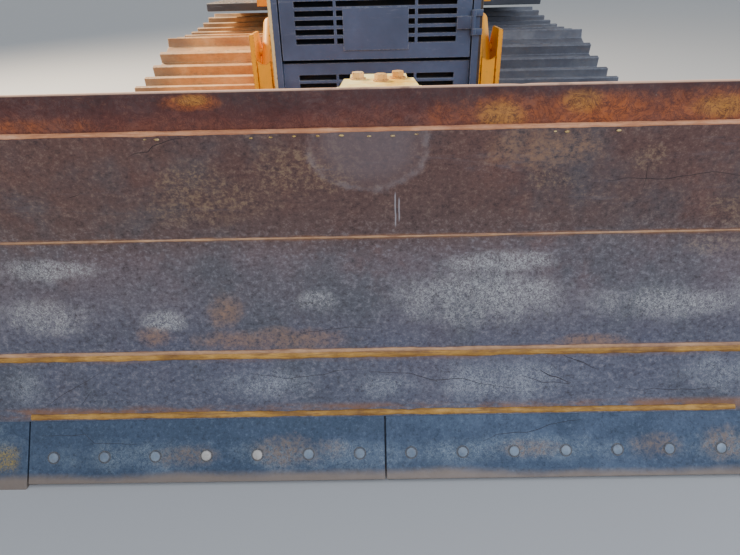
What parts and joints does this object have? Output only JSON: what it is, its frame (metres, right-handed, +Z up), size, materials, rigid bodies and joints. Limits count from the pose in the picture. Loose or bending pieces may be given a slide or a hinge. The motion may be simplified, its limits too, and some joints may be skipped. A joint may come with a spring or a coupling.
{
  "type": "crawler bulldozer",
  "caption": "Crawler tractor with a wide worn straight blade that lifts, angles and tilts, on two steel tracks, with a hooded engine, a closed cab and a rear tank.",
  "frame": {"origin": "ground level under the middle of the whole machine, halfway between the cutting edge's tip and the drawbar's end", "axes": "-Y is forward towards the blade, +X is the machine's left side, +Z is up"},
  "size_m": [3.3, 5, 2.83],
  "materials": {
    "machine_yellow": "faded yellow paint with chips, dirt and rust at the edges",
    "charcoal_paint": "satin charcoal paint with dust",
    "track_steel": "dusty brown track steel, polished where it rubs",
    "blade_steel": "bare worn steel, rusty and scratched, with ochre weld seams",
    "rod_chrome": "hard chrome, lightly oiled",
    "cab_window_glass": "tinted flat safety glass, dusty at the edges",
    "seat_cloth": "black woven seat cloth",
    "black_trim": "black heat-dulled paint and moulded trim",
    "radiator_fins": "dusty dark fins"
  },
  "bodies": {
    "tractor": {"track_left": "track_steel", "track_right": "track_steel", "idlers": "track_steel", "track_rollers": "track_steel", "carrier_rollers": "track_steel", "sprockets": "track_steel", "track_frames": "machine_yellow", "pivot_shafts": "track_steel", "equalizer_bar": "track_steel", "main_frame": "charcoal_paint", "centre_housing": "charcoal_paint", "rear_hull": "machine_yellow", "final_drives": "machine_yellow", "drawbar": "machine_yellow", "lift_towers": "machine_yellow", "radiator_guard": "charcoal_paint", "radiator_core": "radiator_fins", "lower_grille": "charcoal_paint", "hood": "machine_yellow", "side_panels": "machine_yellow", "engine_block": "charcoal_paint", "exhaust_stack": "black_trim", "air_precleaner": "black_trim", "cowl": "machine_yellow", "cab_shell": "machine_yellow", "cab_roof": "machine_yellow", "cab_glass": "cab_window_glass", "operator_seat": "seat_cloth", "consoles": "black_trim", "dash": "black_trim", "fenders": "machine_yellow", "fuel_tank": "machine_yellow", "work_lamps": "black_trim", "grab_rails": "black_trim"},
    "push_frame_body": {"push_frame": "machine_yellow"},
    "swivel": {"swivel_tower": "machine_yellow"},
    "blade": {"moldboard": "blade_steel", "cutting_edges": "blade_steel", "top_lip": "blade_steel", "blade_back": "machine_yellow"},
    "lift_cylinder_left": {"lift_barrel_left": "machine_yellow"},
    "lift_piston_left": {"lift_rod_left": "rod_chrome"},
    "lift_cylinder_right": {"lift_barrel_right": "machine_yellow"},
    "lift_piston_right": {"lift_rod_right": "rod_chrome"},
    "angle_cylinder_left": {"angle_barrel_left": "machine_yellow"},
    "angle_piston_left": {"angle_rod_left": "rod_chrome"},
    "angle_cylinder_right": {"angle_barrel_right": "machine_yellow"},
    "angle_piston_right": {"angle_rod_right": "rod_chrome"},
    "tilt_cylinder": {"tilt_barrel": "machine_yellow"},
    "tilt_piston": {"tilt_rod": "rod_chrome"},
    "grille_door_body": {"grille_door": "charcoal_paint"},
    "engine_door_left_body": {"engine_door_left": "machine_yellow"},
    "engine_door_right_body": {"engine_door_right": "machine_yellow"},
    "cab_door_left_body": {"cab_door_left": "machine_yellow", "door_glass_left": "cab_window_glass"},
    "cab_door_right_body": {"cab_door_right": "machine_yellow", "door_glass_right": "cab_window_glass"}
  },
  "joints": [
    {"name": "blade_lift", "type": "hinge", "parent": "tractor", "child": "push_frame_body", "pos_m": [0, 0.2, 0.5], "axis": [1, 0, 0], "range_deg": [-16, 8]},
    {"name": "blade_angle", "type": "hinge", "parent": "push_frame_body", "child": "swivel", "pos_m": [0, -1.9, 0.5], "axis": [0, 0, 1], "range_deg": [-23, 23]},
    {"name": "blade_tilt", "type": "hinge", "parent": "swivel", "child": "blade", "pos_m": [0, -2, 0.52], "axis": [0, 1, 0], "range_deg": [-6, 6]},
    {"name": "lift_barrel_left_swing", "type": "hinge", "parent": "tractor", "child": "lift_cylinder_left", "pos_m": [0.5, -0.82, 1], "axis": [1, 0, 0], "range_deg": [-25.6, 12.8]},
    {"name": "lift_rod_left_slide", "type": "slide", "parent": "lift_cylinder_left", "child": "lift_piston_left", "axis": [0, -0.6839, -0.7295], "range_m": [-0.2817, 0.1409]},
    {"name": "angle_barrel_left_swing", "type": "hinge", "parent": "push_frame_body", "child": "angle_cylinder_left", "pos_m": [0.38, -1.3, 0.62], "axis": [0, 0, 1], "range_deg": [-3.8, 3.8]},
    {"name": "angle_rod_left_slide", "type": "slide", "parent": "angle_cylinder_left", "child": "angle_piston_left", "axis": [0.0739, -0.9973, 0], "range_m": [-0.1672, 0.1672]},
    {"name": "lift_barrel_right_swing", "type": "hinge", "parent": "tractor", "child": "lift_cylinder_right", "pos_m": [-0.5, -0.82, 1], "axis": [1, 0, 0], "range_deg": [-25.6, 12.8]},
    {"name": "lift_rod_right_slide", "type": "slide", "parent": "lift_cylinder_right", "child": "lift_piston_right", "axis": [0, -0.6839, -0.7295], "range_m": [-0.2817, 0.1409]},
    {"name": "angle_barrel_right_swing", "type": "hinge", "parent": "push_frame_body", "child": "angle_cylinder_right", "pos_m": [-0.38, -1.3, 0.62], "axis": [0, 0, 1], "range_deg": [-3.8, 3.8]},
    {"name": "angle_rod_right_slide", "type": "slide", "parent": "angle_cylinder_right", "child": "angle_piston_right", "axis": [-0.0739, -0.9973, 0], "range_m": [-0.1672, 0.1672]},
    {"name": "tilt_barrel_swing", "type": "hinge", "parent": "swivel", "child": "tilt_cylinder", "pos_m": [-0.185, -2.05, 0.93], "axis": [0, 1, 0], "range_deg": [-6.9, 6.9]},
    {"name": "tilt_rod_slide", "type": "slide", "parent": "tilt_cylinder", "child": "tilt_piston", "axis": [-0.9839, 0, -0.1789], "range_m": [-0.0458, 0.0458]},
    {"name": "grille_door_swing", "type": "hinge", "parent": "tractor", "child": "grille_door_body", "pos_m": [0.42, -1.012, 1.27], "axis": [0, 0, 1], "range_deg": [0, 100]},
    {"name": "engine_door_left_swing", "type": "hinge", "parent": "tractor", "child": "engine_door_left_body", "pos_m": [0.452, -0.6425, 1.24], "axis": [0, 0, -1], "range_deg": [0, 90]},
    {"name": "engine_door_right_swing", "type": "hinge", "parent": "tractor", "child": "engine_door_right_body", "pos_m": [-0.452, -0.6425, 1.24], "axis": [0, 0, 1], "range_deg": [0, 90]},
    {"name": "cab_door_left_swing", "type": "hinge", "parent": "tractor", "child": "cab_door_left_body", "pos_m": [0.772, 1.2525, 1.9], "axis": [0, 0, 1], "range_deg": [0, 95]},
    {"name": "cab_door_right_swing", "type": "hinge", "parent": "tractor", "child": "cab_door_right_body", "pos_m": [-0.772, 1.2525, 1.9], "axis": [0, 0, -1], "range_deg": [0, 95]}
  ],
  "couplings": [
    {"joint": "lift_barrel_left_swing", "follows": "blade_lift", "ratio": 1.6},
    {"joint": "lift_rod_left_slide", "follows": "blade_lift", "m_per_rad": 1.0084},
    {"joint": "angle_barrel_left_swing", "follows": "blade_angle", "ratio": 0.165},
    {"joint": "angle_rod_left_slide", "follows": "blade_angle", "m_per_rad": -0.4161},
    {"joint": "lift_barrel_right_swing", "follows": "blade_lift", "ratio": 1.6},
    {"joint": "lift_rod_right_slide", "follows": "blade_lift", "m_per_rad": 1.0084},
    {"joint": "angle_barrel_right_swing", "follows": "blade_angle", "ratio": 0.165},
    {"joint": "angle_rod_right_slide", "follows": "blade_angle", "m_per_rad": 0.4161},
    {"joint": "tilt_barrel_swing", "follows": "blade_tilt", "ratio": 1.15},
    {"joint": "tilt_rod_slide", "follows": "blade_tilt", "m_per_rad": -0.4355}
  ]
}
